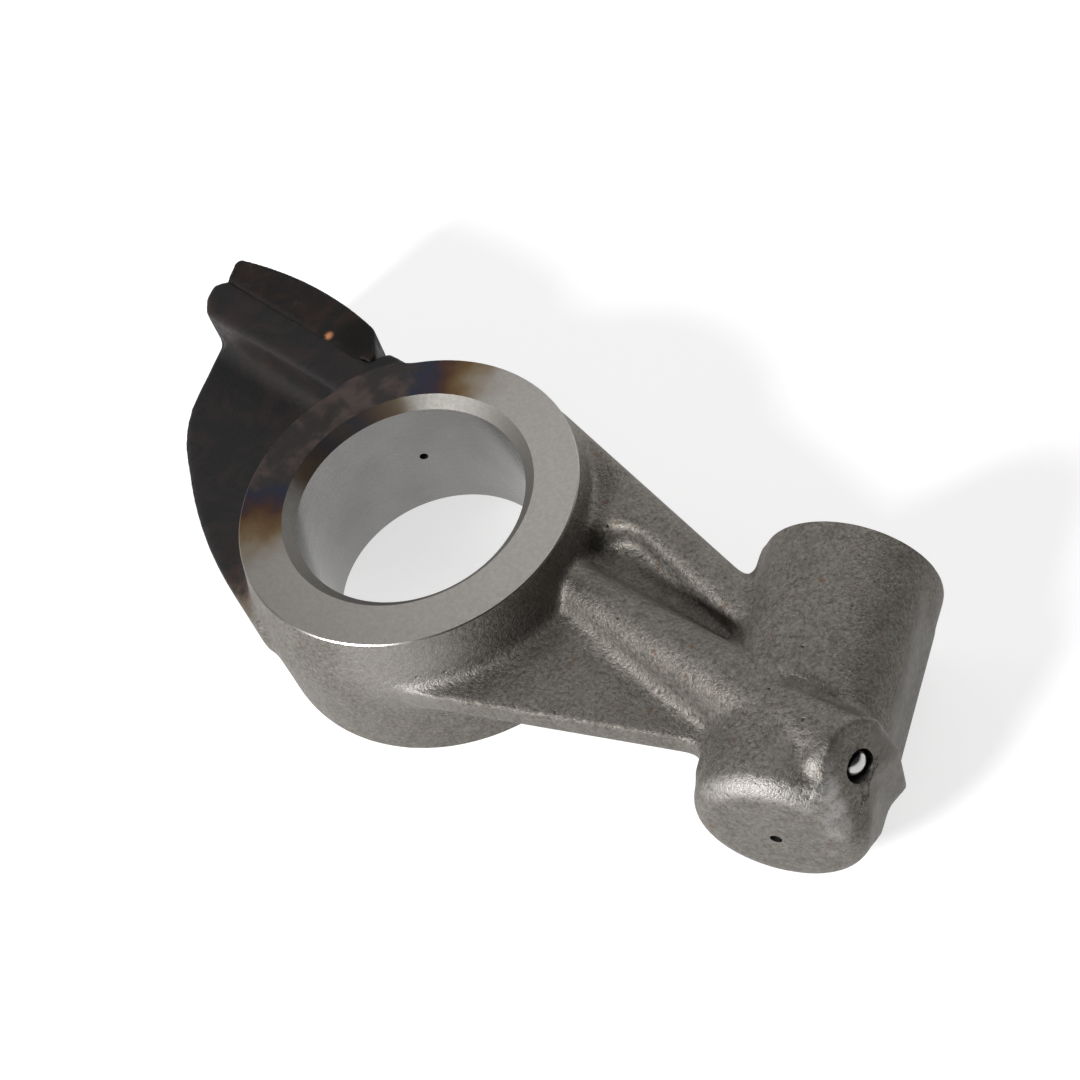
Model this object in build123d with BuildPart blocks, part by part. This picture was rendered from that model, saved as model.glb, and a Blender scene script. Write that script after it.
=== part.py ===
from build123d import *
from math import cos, radians, sin, sqrt, tan
import os

# Overhead-cam rocker arm: a one-piece steel casting with a brazed slipper pad and a pressed-in gallery ball.
# The shaft bore runs along Z. The parting plane of the casting, which is also the middle of the web, is Z = 0.
# +X points from the shaft to the adjuster barrel, and +Y is the direction in which barrel and pad push.

# Hub round the rocker shaft, drafted away from the parting plane
boreRadius = 11.5
boreChamfer = 1.1
hubTop = 7.0
hubBottom = -9.4
hubFaceRadius = 17.0
hubPartingRadius = 18.4
hubBackRadius = 18.3

# Web between hub and adjuster barrel
webHalfThickness = 1.35
webLowEdge = 17.9
webUpperAngle = 55.4
webCornerRadius = 2.5
notchShare = 0.23
rootRadius = 1.0
rootBevel = 0.6

# Adjuster barrel, a cup that is open towards +Y
barrelCentreX = 42.4
barrelMouthY = 2.2
barrelEndY = -25.0
barrelMouthRadius = 8.4
barrelDraft = 1.3
barrelEndRounding = 2.4
adjusterRadius = 6.0
adjusterFloor = 3.6
adjusterLead = 0.6
ventRadius = 0.55
gateFlatX = 50.3
gateFlatTilt = 4.6
gateTop = -0.8
gateEnd = -23.2
gateHigh = 2.0
gateLow = -2.8
gateSpare = 1.0
gateCorner = 2.0

# Rim along the arm's upper edge
rimHalfHeight = 4.2
rimWidth = 4.6
rimRounding = 1.3
rimDraft = 0.11
rimInnerRounding = 1.0
pocketRadius = 3.5
pocketBevel = 0.6

# Gallery rib, which grows from the hub to the boss that carries the ball
galleryHubX = 17.1
galleryHubY = -3.75
galleryHubZ = 1.2
galleryBossX = 49.08
galleryBossY = -19.68
galleryBossZ = 5.4
galleryRadius = 1.1
ribHubRadius = 2.3
ribBossRadius = 4.1
ribHubFoot = 0.9
ribBossFoot = 3.6
ribRoot = 1.0
bossEnd = 0.75
facetNormal = Vector(0.83, -0.35, 0.43)
ballRadius = 1.5
ballSink = 1.35
ballClearance = 0.01

# Pad arm: a carrier, the fin under it and the wear pad on it
padAngle = -23.6
padHalfWidth = 6.8
padSeat = 10.3
padUnderside = 5.7
carrierTip = -39.7
carrierLip = 1.3
carrierLipRounding = 0.6
carrierFace = 0.6
carrierFoot = 1.6
carrierHeel = 2.2
padNear = -15.9
padFar = -39.8
padRadius = 46.0
padCrown = 14.7
padNearEdge = 0.9
padNearBevel = 2.8
padNearRounding = 1.6
padFarUndercut = 1.1
padFarLip = 2.0
padFarRounding = 0.6
stopClearance = 0.15
stopTop = 12.4
stopBevel = 0.9
finHalfThickness = 1.7
finRoot = 2.0
finRootEnd = 36.2
finOuterX = -32.0
finTopY = 21.0
finHubY = 10.5
finKneeY = 9.0
finLowerKneeX = -23.4
finLowerKneeY = -4.8
finLowerSlope = -40.5
finUpperBend = 17.0
finLowerBend = 50.0

# Oil spray hole towards the cam
sprayAngle = 114.4
sprayRadius = 0.45
sprayHeight = -1.15


def onCircle(radius, angle):
    # Point in the parting plane, on a circle about the shaft bore.
    return Vector(radius * cos(radians(angle)), radius * sin(radians(angle)))


os.makedirs("parts", exist_ok=True)

# Frame of the upper edge: its s axis points away from the bore, its end is the middle of the adjuster barrel
acrossUpper = onCircle(1, webUpperAngle)
alongUpper = onCircle(1, webUpperAngle - 90)
upperTangent = acrossUpper * hubPartingRadius
upperLength = (barrelCentreX - upperTangent.X) / alongUpper.X
hubDraft = (hubPartingRadius - hubFaceRadius) / hubTop
backDraft = (hubPartingRadius - hubBackRadius) / -hubBottom

padPlane = Plane(origin=(0, 0, 0), x_dir=tuple(onCircle(1, padAngle)), z_dir=(0, 0, 1))

galleryHubPoint = Vector(galleryHubX, galleryHubY, galleryHubZ)
galleryBossPoint = Vector(galleryBossX, galleryBossY, galleryBossZ)
galleryAxis = (galleryBossPoint - galleryHubPoint).normalized()
galleryPlan = Vector(galleryAxis.X, galleryAxis.Y, 0).normalized()
galleryAcross = Vector(-galleryPlan.Y, galleryPlan.X, 0)
ballCentre = galleryBossPoint - galleryAxis * ballSink
ballSeat = sqrt(ballRadius**2 - galleryRadius**2)
insideWall = (boreRadius + hubPartingRadius) / 2

barrelEndRadius = barrelMouthRadius - (barrelMouthY - barrelEndY) * tan(radians(barrelDraft))
barrelSideX = barrelCentreX - barrelMouthRadius

# The web's own edge ends inside the rim, which gives the arm its upper outline
webTangent = acrossUpper * (hubPartingRadius - rimWidth / 2)
webUpperEnd = webTangent + alongUpper * ((barrelCentreX - webTangent.X) / alongUpper.X)
finLowerKnee = Vector(finLowerKneeX, finLowerKneeY)
finTail = finLowerKnee + onCircle(insideWall, finLowerSlope)


def flaredPlate(halfThickness, rounded):
    # Section of a plate round the shaft bore. Its faces run up into the hub's wall with a rounded or bevelled root.
    rise = halfThickness + 2 * rootRadius
    with BuildSketch(Plane.XZ) as plateSketch:
        with BuildLine():
            Polyline(
                (0, -rise),
                (hubPartingRadius - backDraft * rise, -rise),
                (hubPartingRadius - backDraft * halfThickness, -halfThickness),
                (barrelCentreX, -halfThickness),
                (barrelCentreX, halfThickness),
                (hubPartingRadius - hubDraft * halfThickness, halfThickness),
                (hubPartingRadius - hubDraft * rise, rise),
                (0, rise),
                close=True,
            )
        make_face()
        roots = plateSketch.vertices().filter_by(lambda v: abs(abs(v.Y) - halfThickness) < 0.01)
        roots = roots.filter_by(lambda v: v.X < hubPartingRadius)
        if rounded:
            fillet(roots, radius=rootRadius)
        else:
            chamfer(roots, length=rootBevel)
    return plateSketch.sketch


with BuildSketch(Plane.XY) as barrelOutline:
    # Outline of the barrel in the parting plane, on the side that faces the hub
    with BuildLine():
        cornerEnd = -webLowEdge - 1.5 * webCornerRadius
        cornerSide = barrelMouthRadius - (barrelMouthY - cornerEnd) * tan(radians(barrelDraft))
        Polyline(
            (barrelCentreX, barrelMouthY),
            (barrelSideX, barrelMouthY),
            (barrelCentreX - cornerSide, cornerEnd),
            (barrelCentreX, cornerEnd),
            close=True,
        )
    make_face()
barrelHalf = barrelOutline.sketch

with BuildPart() as web:
    # Web, with a straight lower edge and an upper edge inside the rim
    with BuildSketch(Plane.XY) as webSketch:
        with BuildLine():
            Polyline(
                (0, 0),
                (0, -webLowEdge),
                (barrelCentreX, -webLowEdge),
                webUpperEnd,
                webTangent,
                close=True,
            )
        make_face()
        add(barrelHalf)
        fillet(webSketch.vertices().sort_by_distance((barrelSideX, -webLowEdge))[0], radius=webCornerRadius)
    extrude(amount=hubTop, both=True)
    revolve(profiles=flaredPlate(webHalfThickness, True), axis=Axis.Z, mode=Mode.INTERSECT)

with BuildPart() as pocketCorner:
    # Rounded corner where the rim's inner side leaves the hub
    rimInner = acrossUpper * (hubPartingRadius - rimWidth)
    pocketWall = hubPartingRadius - hubDraft * rimHalfHeight
    rimInside = acrossUpper * ((hubPartingRadius - rimWidth + pocketWall) / 2)
    pocketStart = sqrt(pocketWall**2 - (hubPartingRadius - rimWidth) ** 2)
    pocketReach = alongUpper * (pocketStart + 4 * pocketRadius)
    with BuildSketch(Plane.XY) as pocketSketch:
        Circle(pocketWall)
        with BuildLine():
            Polyline(rimInner, rimInner + pocketReach, rimInside + pocketReach, rimInside, close=True)
        make_face()
        corner = pocketSketch.vertices().sort_by_distance(rimInner + alongUpper * pocketStart)[0]
        fillet(corner, radius=pocketRadius)
    extrude(amount=rimHalfHeight, both=True)
    tops = pocketCorner.edges().group_by(Axis.Z)[-1] + pocketCorner.edges().group_by(Axis.Z)[0]
    rounded = tops.filter_by(lambda e: e.geom_type == GeomType.CIRCLE and abs(e.radius - pocketRadius) < 0.01)
    chamfer(rounded, length=pocketBevel)

with BuildPart() as fin:
    # Fin under the carrier, whose outline runs down to the hub in two bends
    with BuildSketch(Plane.XY) as finSketch:
        with BuildLine():
            Polyline(
                (0, 0),
                finTail,
                finLowerKnee,
                (finOuterX, finKneeY),
                (finOuterX, finTopY),
                (0, finHubY),
                close=True,
            )
        make_face()
        fillet(finSketch.vertices().sort_by_distance(finLowerKnee)[0], radius=finLowerBend)
        fillet(finSketch.vertices().sort_by_distance((finOuterX, finKneeY))[0], radius=finUpperBend)
    extrude(amount=hubTop, both=True)
    revolve(profiles=flaredPlate(finHalfThickness, False), axis=Axis.Z, mode=Mode.INTERSECT)

with BuildPart() as rocker:
    # Adjuster barrel with its rounded closed end
    with BuildSketch(Plane.XY) as barrelSketch:
        with BuildLine():
            Polyline(
                (barrelCentreX, barrelMouthY),
                (barrelCentreX + barrelMouthRadius, barrelMouthY),
                (barrelCentreX + barrelEndRadius, barrelEndY),
                (barrelCentreX, barrelEndY),
                close=True,
            )
        make_face()
        endCorner = (barrelCentreX + barrelEndRadius, barrelEndY)
        fillet(barrelSketch.vertices().sort_by_distance(endCorner)[0], radius=barrelEndRounding)
    revolve(axis=Axis((barrelCentreX, 0, 0), (0, 1, 0)))

    # Stub of the casting gate along the barrel, and the flat where it was ground off
    with BuildSketch(Plane.XY.offset(gateLow)):
        with BuildLine():
            Polyline(
                (barrelCentreX, gateTop),
                (gateFlatX + gateSpare, gateTop),
                (gateFlatX + gateSpare, gateEnd + gateCorner),
                (gateFlatX - gateSpare, gateEnd),
                (barrelCentreX, gateEnd),
                close=True,
            )
        make_face()
    extrude(amount=gateHigh - gateLow)
    gateNormal = (cos(radians(gateFlatTilt)), 0, sin(radians(gateFlatTilt)))
    with BuildSketch(Plane(origin=(gateFlatX, gateTop, 0), x_dir=(0, 1, 0), z_dir=gateNormal)):
        Rectangle(gateTop - 2 * barrelEndY, 4 * barrelMouthRadius, align=(Align.MAX, Align.CENTER))
    extrude(amount=barrelMouthRadius, mode=Mode.SUBTRACT)

    # Gallery rib, a tall rounded section that grows from the hub towards the boss, with rounded roots on the web
    ribStart = galleryHubPoint - galleryAxis * (galleryHubPoint.length - insideWall)
    ribMiddle = ribStart + galleryAxis * ((barrelCentreX - ribStart.X) / galleryAxis.X)
    ribEnd = galleryBossPoint + galleryAxis * bossEnd
    ribMiddleShare = (ribMiddle - ribStart).length / (ribEnd - ribStart).length
    ribStations = []
    for point, share in ((ribStart, 0), (ribMiddle, ribMiddleShare), (ribEnd, 1)):
        radius = ribHubRadius + (ribBossRadius - ribHubRadius) * share
        foot = ribHubFoot + (ribBossFoot - ribHubFoot) * share
        ribStations.append((point, radius, foot))
    for stations, rooted in ((ribStations[:2], True), (ribStations[1:], False)):
        for point, radius, foot in stations:
            middle = (point.X, point.Y, 0)
            with BuildSketch(Plane(origin=middle, x_dir=tuple(galleryAcross), z_dir=tuple(galleryPlan))) as ribSketch:
                with BuildLine():
                    Polyline((-radius, point.Z), (-radius, -foot), (radius, -foot), (radius, point.Z))
                    ThreePointArc((radius, point.Z), (0, point.Z + radius), (-radius, point.Z))
                make_face()
                if rooted:
                    rootWidth = 2 * (radius + ribRoot) + ribRoot
                    with Locations((0, webHalfThickness)):
                        Rectangle(rootWidth, webHalfThickness, align=(Align.CENTER, Align.MAX))
                    for side in (-1, 1):
                        corner = ribSketch.vertices().sort_by_distance((side * radius, webHalfThickness))[0]
                        fillet(corner, radius=ribRoot)
        loft(ruled=True)

    # Facet in which the ball sits, which runs down to the closed end of the barrel
    split(bisect_by=Plane(origin=tuple(galleryBossPoint), z_dir=tuple(facetNormal)), keep=Keep.BOTTOM)

    # Hub
    with BuildSketch(Plane.XZ):
        with BuildLine():
            Polyline(
                (0, hubBottom),
                (hubBackRadius, hubBottom),
                (hubPartingRadius, 0),
                (hubFaceRadius, hubTop),
                (0, hubTop),
                close=True,
            )
        make_face()
    revolve(axis=Axis.Z)

    add(web.part)
    add(pocketCorner.part)
    add(fin.part)

    # Rim along the upper edge, drawn as its section and drawn out from the hub to the barrel
    rimPlane = Plane(origin=(0, 0, 0), x_dir=tuple(acrossUpper), z_dir=tuple(alongUpper))
    with BuildSketch(rimPlane) as rimSketch:
        for side in (1, -1):
            rimTop = Vector(hubPartingRadius - rimDraft * rimHalfHeight, side * rimHalfHeight)
            rimInnerTop = Vector(hubPartingRadius - rimWidth, side * rimHalfHeight)
            rimFoot = Vector(hubPartingRadius - rimWidth, side * webHalfThickness)
            with BuildLine():
                Polyline(
                    (hubPartingRadius, 0),
                    rimTop,
                    rimInnerTop,
                    rimFoot,
                    rimFoot - Vector(2 * rootRadius, 0),
                    (rimFoot.X - 2 * rootRadius, 0),
                    close=True,
                )
            make_face()
        for side in (1, -1):
            for x, z, radius in (
                (hubPartingRadius - rimDraft * rimHalfHeight, rimHalfHeight, rimRounding),
                (hubPartingRadius - rimWidth, rimHalfHeight, rimInnerRounding),
                (hubPartingRadius - rimWidth, webHalfThickness, rootRadius),
            ):
                corner = rimSketch.vertices().sort_by_distance((x, side * z))[0]
                fillet(corner, radius=radius)
    extrude(amount=upperLength)

    # Rounded corner where the rim runs into the barrel, a little inside the rim's drafted side
    with BuildSketch(Plane.XY) as notchSketch:
        notchEdge = acrossUpper * (hubPartingRadius - rimDraft * rimHalfHeight)
        with BuildLine():
            Polyline(
                notchEdge + alongUpper * (notchEdge.X / alongUpper.X),
                notchEdge + alongUpper * ((barrelCentreX - notchEdge.X) / alongUpper.X),
                webUpperEnd,
                close=True,
            )
        make_face()
        add(barrelHalf)
        notch = notchEdge + alongUpper * ((barrelSideX - notchEdge.X) / alongUpper.X)
        notchRadius = notchShare * (barrelMouthY - notch.Y)
        fillet(notchSketch.vertices().sort_by_distance(notch)[0], radius=notchRadius)
    extrude(amount=rimHalfHeight - rimRounding, both=True)

    # Carrier of the pad, with the stop that the pad's inner end is set against
    with BuildSketch(padPlane) as carrierSketch:
        with BuildLine():
            Polyline(
                (0, stopTop),
                (padNear + stopClearance + stopBevel, stopTop),
                (padNear + stopClearance, stopTop - stopBevel),
                (padNear + stopClearance, padSeat),
                (padFar + padFarUndercut, padSeat),
                (carrierTip, padSeat - carrierLip),
                (carrierTip + carrierFace, padUnderside + carrierFoot),
                (carrierTip + carrierHeel, padUnderside),
                (0, padUnderside),
                close=True,
            )
        make_face()
        lip = carrierSketch.vertices().sort_by_distance((carrierTip, padSeat - carrierLip))[0]
        fillet(lip, radius=carrierLipRounding)
    extrude(amount=padHalfWidth, both=True)

    # Rounded roots between the fin and the underside of the carrier
    towardsPad = onCircle(1, padAngle + 180)
    with BuildSketch(Plane(origin=(0, 0, 0), x_dir=tuple(onCircle(1, padAngle + 90)), z_dir=tuple(towardsPad))):
        rootSide = padUnderside - finRoot
        for side in (1, -1):
            rootTop = side * (finHalfThickness + finRoot)
            arcMiddle = Vector(rootSide + finRoot * sin(radians(45)), rootTop - side * finRoot * sin(radians(45)))
            with BuildLine():
                Polyline(
                    (rootSide, side * finHalfThickness),
                    (rootSide, 0),
                    (padUnderside + carrierFoot, 0),
                    (padUnderside + carrierFoot, rootTop),
                    (padUnderside, rootTop),
                )
                ThreePointArc((padUnderside, rootTop), arcMiddle, (rootSide, side * finHalfThickness))
            make_face()
    extrude(amount=finRootEnd)

    # Shaft bore with its chamfers
    with BuildSketch(Plane.XZ):
        with BuildLine():
            Polyline(
                (0, hubBottom),
                (boreRadius + boreChamfer, hubBottom),
                (boreRadius, hubBottom + boreChamfer),
                (boreRadius, hubTop - boreChamfer),
                (boreRadius + boreChamfer, hubTop),
                (0, hubTop),
                close=True,
            )
        make_face()
    revolve(axis=Axis.Z, mode=Mode.SUBTRACT)

    # Adjuster bore with its lead, and the vent through its floor
    with BuildSketch(Plane.XY):
        with BuildLine():
            Polyline(
                (barrelCentreX, barrelMouthY),
                (barrelCentreX + adjusterRadius + adjusterLead, barrelMouthY),
                (barrelCentreX + adjusterRadius, barrelMouthY - adjusterLead),
                (barrelCentreX + adjusterRadius, barrelEndY + adjusterFloor),
                (barrelCentreX + ventRadius, barrelEndY + adjusterFloor),
                (barrelCentreX + ventRadius, barrelEndY),
                (barrelCentreX, barrelEndY),
                close=True,
            )
        make_face()
    revolve(axis=Axis((barrelCentreX, 0, 0), (0, 1, 0)), mode=Mode.SUBTRACT)

    # Oil gallery, drilled from the boss through the adjuster bore into the shaft bore
    galleryPlane = Plane(origin=tuple(ballCentre), z_dir=tuple(-galleryAxis))
    with BuildSketch(galleryPlane):
        Circle(galleryRadius)
    galleryDepth = (ballCentre - galleryHubPoint).length + galleryHubPoint.length - boreRadius / 2
    extrude(amount=galleryDepth, mode=Mode.SUBTRACT)

    # Counterbore in which the ball is pressed against the gallery's shoulder
    with BuildSketch(galleryPlane.offset(ballSeat)):
        Circle(ballRadius + ballClearance)
    extrude(amount=-(ballSeat + ballSink + ballRadius), mode=Mode.SUBTRACT)

    # Spray hole
    with BuildSketch(Plane(origin=(0, 0, sprayHeight), z_dir=tuple(onCircle(1, sprayAngle)))):
        Circle(sprayRadius)
    extrude(amount=hubPartingRadius + rimWidth, mode=Mode.SUBTRACT)

rocker.part.label = "rocker_casting"
export_step(rocker.part, "parts/rocker_casting.step")

with BuildPart() as pad:
    # Wear pad with its crowned face, undercut at its far end and bevelled at its near end
    with BuildSketch(padPlane) as padSketch:
        with BuildLine():
            padMiddle = (padNear + padFar) / 2
            halfLength = (padNear - padFar) / 2
            farShoulder = padSeat + padFarLip
            nearShoulder = padSeat + padNearEdge
            bevelTop = padCrown - padRadius + sqrt(padRadius**2 - (halfLength - padNearBevel) ** 2)
            farTop = padCrown - padRadius + sqrt(padRadius**2 - halfLength**2)
            Polyline(
                (padFar, farTop),
                (padFar, farShoulder),
                (padFar + padFarUndercut, padSeat),
                (padNear, padSeat),
                (padNear, nearShoulder),
                (padNear - padNearBevel, bevelTop),
            )
            ThreePointArc((padNear - padNearBevel, bevelTop), (padMiddle, padCrown), (padFar, farTop))
        make_face()
        bevelCorner = (padNear - padNearBevel, bevelTop)
        fillet(padSketch.vertices().sort_by_distance(bevelCorner)[0], radius=padNearRounding)
        fillet(padSketch.vertices().sort_by_distance((padFar, farTop))[0], radius=padFarRounding)
    extrude(amount=padHalfWidth, both=True)

pad.part.label = "slipper_pad"
export_step(pad.part, "parts/slipper_pad.step")

with BuildPart() as ball:
    with Locations(ballCentre):
        Sphere(ballRadius)

ball.part.label = "gallery_ball"
export_step(ball.part, "parts/gallery_ball.step")
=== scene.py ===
import bpy
import bmesh
import numpy as np
from math import cos, pi, radians, sin, sqrt
from mathutils import Matrix, Vector


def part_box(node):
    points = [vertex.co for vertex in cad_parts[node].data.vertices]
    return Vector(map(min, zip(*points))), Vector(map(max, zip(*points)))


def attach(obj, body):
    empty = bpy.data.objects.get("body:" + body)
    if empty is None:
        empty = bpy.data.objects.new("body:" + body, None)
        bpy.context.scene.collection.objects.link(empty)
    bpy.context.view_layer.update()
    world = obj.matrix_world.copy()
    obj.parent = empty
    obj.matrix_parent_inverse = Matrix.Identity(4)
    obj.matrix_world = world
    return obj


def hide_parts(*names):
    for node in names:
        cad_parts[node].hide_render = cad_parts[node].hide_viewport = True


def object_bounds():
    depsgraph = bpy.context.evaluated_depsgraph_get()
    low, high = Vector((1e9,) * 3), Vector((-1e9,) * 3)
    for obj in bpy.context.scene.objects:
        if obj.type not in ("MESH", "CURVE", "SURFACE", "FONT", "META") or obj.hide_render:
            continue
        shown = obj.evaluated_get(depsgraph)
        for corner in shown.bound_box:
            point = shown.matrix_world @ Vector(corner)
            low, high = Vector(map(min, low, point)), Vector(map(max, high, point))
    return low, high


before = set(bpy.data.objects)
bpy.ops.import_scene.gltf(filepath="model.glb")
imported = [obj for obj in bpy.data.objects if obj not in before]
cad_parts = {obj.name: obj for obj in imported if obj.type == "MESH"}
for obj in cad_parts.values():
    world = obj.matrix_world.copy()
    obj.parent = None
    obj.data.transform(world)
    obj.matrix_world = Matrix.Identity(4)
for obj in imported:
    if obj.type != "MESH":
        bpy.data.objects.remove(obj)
cadLow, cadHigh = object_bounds()
mm = 0.001
root = "root"
yAxis = (0, 1, 0)
zAxis = (0, 0, 1)
print("packed rocker arm loaded")


# The camera stands where the photograph was taken from
view = {
    "place": (0.0865633, -0.0975161, 0.1542121),
    "right": (0.9171865, 0.3153933, -0.2435077),
    "up": (-0.1237753, 0.8064085, 0.5782603),
    "lens": 68.3814,  # on a 36 mm wide sensor, for the photo's 1080 x 1080 frame
    "sensor": 36.0,
    "nearest": 0.005,
}

right = Vector(view["right"]).normalized()
up = Vector(view["up"])
up = (up - right * up.dot(right)).normalized()
toCamera = right.cross(up)
cameraData = bpy.data.cameras.new("photoCamera")
cameraData.lens = view["lens"]
cameraData.sensor_width = view["sensor"]
cameraData.clip_start = view["nearest"]
camera = bpy.data.objects.new("photoCamera", cameraData)
bpy.context.scene.collection.objects.link(camera)
camera.matrix_world = Matrix.Translation(view["place"]) @ Matrix((right, up, toCamera)).transposed().to_4x4()
bpy.context.scene.camera = camera
bpy.context.scene.view_settings.view_transform = "Standard"


class Finish:
    # A material under way: every call adds one node and hands back its output
    def __init__(self, name):
        self.material = bpy.data.materials.new(name)
        self.material.use_nodes = True
        self.nodes = self.material.node_tree.nodes
        self.links = self.material.node_tree.links
        self.shader = self.nodes["Principled BSDF"]
        coords = self.nodes.new("ShaderNodeTexCoord")
        scaled = self.nodes.new("ShaderNodeVectorMath")
        scaled.operation = "SCALE"
        scaled.inputs["Scale"].default_value = 1 / mm
        self.links.new(coords.outputs["Object"], scaled.inputs[0])
        self.place = scaled.outputs[0]  # millimetres, in the arm's own frame

    def feed(self, value, socket):
        if isinstance(value, bpy.types.NodeSocket):
            self.links.new(value, socket)
        elif isinstance(value, (tuple, list)) and len(value) == 3 and socket.type == "RGBA":
            socket.default_value = (*value, 1.0)
        else:
            socket.default_value = value

    def maths(self, operation, first, second=0.0, third=0.0):
        node = self.nodes.new("ShaderNodeMath")
        node.operation = operation
        for value, socket in zip((first, second, third), node.inputs):
            self.feed(value, socket)
        return node.outputs[0]

    def times(self, first, second):
        return self.maths("MULTIPLY", first, second)

    def plus(self, first, second):
        return self.maths("ADD", first, second)

    def grain(self, scale, detail=2.0, roughness=0.5, warp=0.0, vector=None):
        node = self.nodes.new("ShaderNodeTexNoise")
        node.inputs["Scale"].default_value = scale
        node.inputs["Detail"].default_value = detail
        node.inputs["Roughness"].default_value = roughness
        node.inputs["Distortion"].default_value = warp
        self.links.new(vector or self.place, node.inputs["Vector"])
        return node.outputs["Fac"]

    def cells(self, scale):
        node = self.nodes.new("ShaderNodeTexVoronoi")
        node.feature = "F1"
        node.inputs["Scale"].default_value = scale
        self.links.new(self.place, node.inputs["Vector"])
        return node.outputs["Distance"]

    def closeTo(self, point, near, far):
        # 1 within near millimetres of the point, 0 beyond far
        node = self.nodes.new("ShaderNodeVectorMath")
        node.operation = "DISTANCE"
        self.links.new(self.place, node.inputs[0])
        node.inputs[1].default_value = point
        return self.spread(node.outputs["Value"], far, near)

    def strongest(self, places, near, far):
        # Soft spots that run together: places gives each point its strength
        share = 0.0
        for point, strength in places.items():
            share = self.maths("MAXIMUM", share, self.times(self.closeTo(point, near, far), strength))
        return share

    def along(self, direction, point):
        # Distance from the point, counted along the direction
        node = self.nodes.new("ShaderNodeVectorMath")
        node.operation = "DOT_PRODUCT"
        self.links.new(self.place, node.inputs[0])
        node.inputs[1].default_value = direction
        return self.maths("SUBTRACT", node.outputs["Value"], Vector(direction).dot(Vector(point)))

    def stretch(self, factors):
        node = self.nodes.new("ShaderNodeVectorMath")
        node.operation = "MULTIPLY"
        self.links.new(self.place, node.inputs[0])
        node.inputs[1].default_value = factors
        return node.outputs[0]

    def spread(self, value, low, high, newLow=0.0, newHigh=1.0, smooth=True):
        node = self.nodes.new("ShaderNodeMapRange")
        node.interpolation_type = "SMOOTHSTEP" if smooth else "LINEAR"
        node.inputs["From Min"].default_value = low
        node.inputs["From Max"].default_value = high
        node.inputs["To Min"].default_value = newLow
        node.inputs["To Max"].default_value = newHigh
        self.links.new(value, node.inputs["Value"])
        return node.outputs["Result"]

    def bands(self, value, stops):
        node = self.nodes.new("ShaderNodeValToRGB")
        ramp = node.color_ramp
        ramp.interpolation = "LINEAR"
        while len(ramp.elements) < len(stops):
            ramp.elements.new(0.5)
        for element, (at, colour) in zip(ramp.elements, stops):
            element.position = at
            element.color = (*colour, 1.0)
        self.links.new(value, node.inputs["Fac"])
        return node.outputs["Color"]

    def blend(self, factor, first, second, mode="MIX"):
        node = self.nodes.new("ShaderNodeMix")
        node.data_type = "RGBA"
        node.blend_type = mode
        self.feed(factor, node.inputs[0])
        self.feed(first, node.inputs[6])
        self.feed(second, node.inputs[7])
        return node.outputs[2]

    def split(self):
        node = self.nodes.new("ShaderNodeSeparateXYZ")
        self.links.new(self.place, node.inputs[0])
        return node.outputs

    def bump(self, height, depth):
        node = self.nodes.new("ShaderNodeBump")
        node.inputs["Strength"].default_value = 1.0
        node.inputs["Distance"].default_value = depth * mm
        self.links.new(height, node.inputs["Height"])
        return node.outputs["Normal"]

    def done(self, colour, rough, metal, normal, specular=0.5):
        self.shader.inputs["Specular IOR Level"].default_value = specular
        self.feed(colour, self.shader.inputs["Base Color"])
        self.feed(rough, self.shader.inputs["Roughness"])
        self.feed(metal, self.shader.inputs["Metallic"])
        self.links.new(normal, self.shader.inputs["Normal"])
        return self.material


studio = {
    "floorColour": (0.46, 0.46, 0.46),
    "floorRough": 0.9,
    "floorGlow": 0.68,  # what camera, gloss and glass see on top of the lamps' light
    "floorRadius": 4.0,
    "floorSides": 96,
    "rimHeight": 0.2,  # the floor's edge turns up, so that low views end in the same pale tone
    "skyGrey": 0.02,
    "key": ((-0.38, -0.78, 0.50), 0.20, 9.4),  # direction, size in metres, watts
    "overhead": ((-0.36, 0.50, 0.80), 0.30, 0.48),
    "back": ((0.26, 0.88, 0.60), 0.85, 3.6),
    "side": ((-1.00, 0.20, 0.55), 0.35, 0.9),
    "distance": 0.75,
}


def paleFloor():
    finish = Finish("paleFloor")
    finish.shader.inputs["Base Color"].default_value = (*studio["floorColour"], 1.0)
    finish.shader.inputs["Roughness"].default_value = studio["floorRough"]
    finish.shader.inputs["Specular IOR Level"].default_value = 0.0
    lightPath = finish.nodes.new("ShaderNodeLightPath")
    seen = finish.maths("MAXIMUM", lightPath.outputs["Is Camera Ray"], lightPath.outputs["Is Glossy Ray"])
    seen = finish.maths("MAXIMUM", seen, lightPath.outputs["Is Transmission Ray"])
    glow = finish.nodes.new("ShaderNodeEmission")
    finish.feed(finish.times(seen, studio["floorGlow"]), glow.inputs["Strength"])
    both = finish.nodes.new("ShaderNodeAddShader")
    finish.links.new(finish.shader.outputs[0], both.inputs[0])
    finish.links.new(glow.outputs[0], both.inputs[1])
    finish.links.new(both.outputs[0], finish.nodes["Material Output"].inputs["Surface"])
    return finish.material


bpy.ops.mesh.primitive_circle_add(
    vertices=studio["floorSides"], radius=studio["floorRadius"], fill_type="NGON", location=(0, 0, cadLow.z))
floor = bpy.context.active_object
floor.name = "studioFloor"
sheet = bmesh.new()
sheet.from_mesh(floor.data)
border = [edge for edge in sheet.edges if edge.is_boundary]
for part in bmesh.ops.extrude_edge_only(sheet, edges=border)["geom"]:
    if isinstance(part, bmesh.types.BMVert):
        part.co.z += studio["rimHeight"]
sheet.to_mesh(floor.data)
sheet.free()
floor.data.materials.append(paleFloor())

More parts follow.
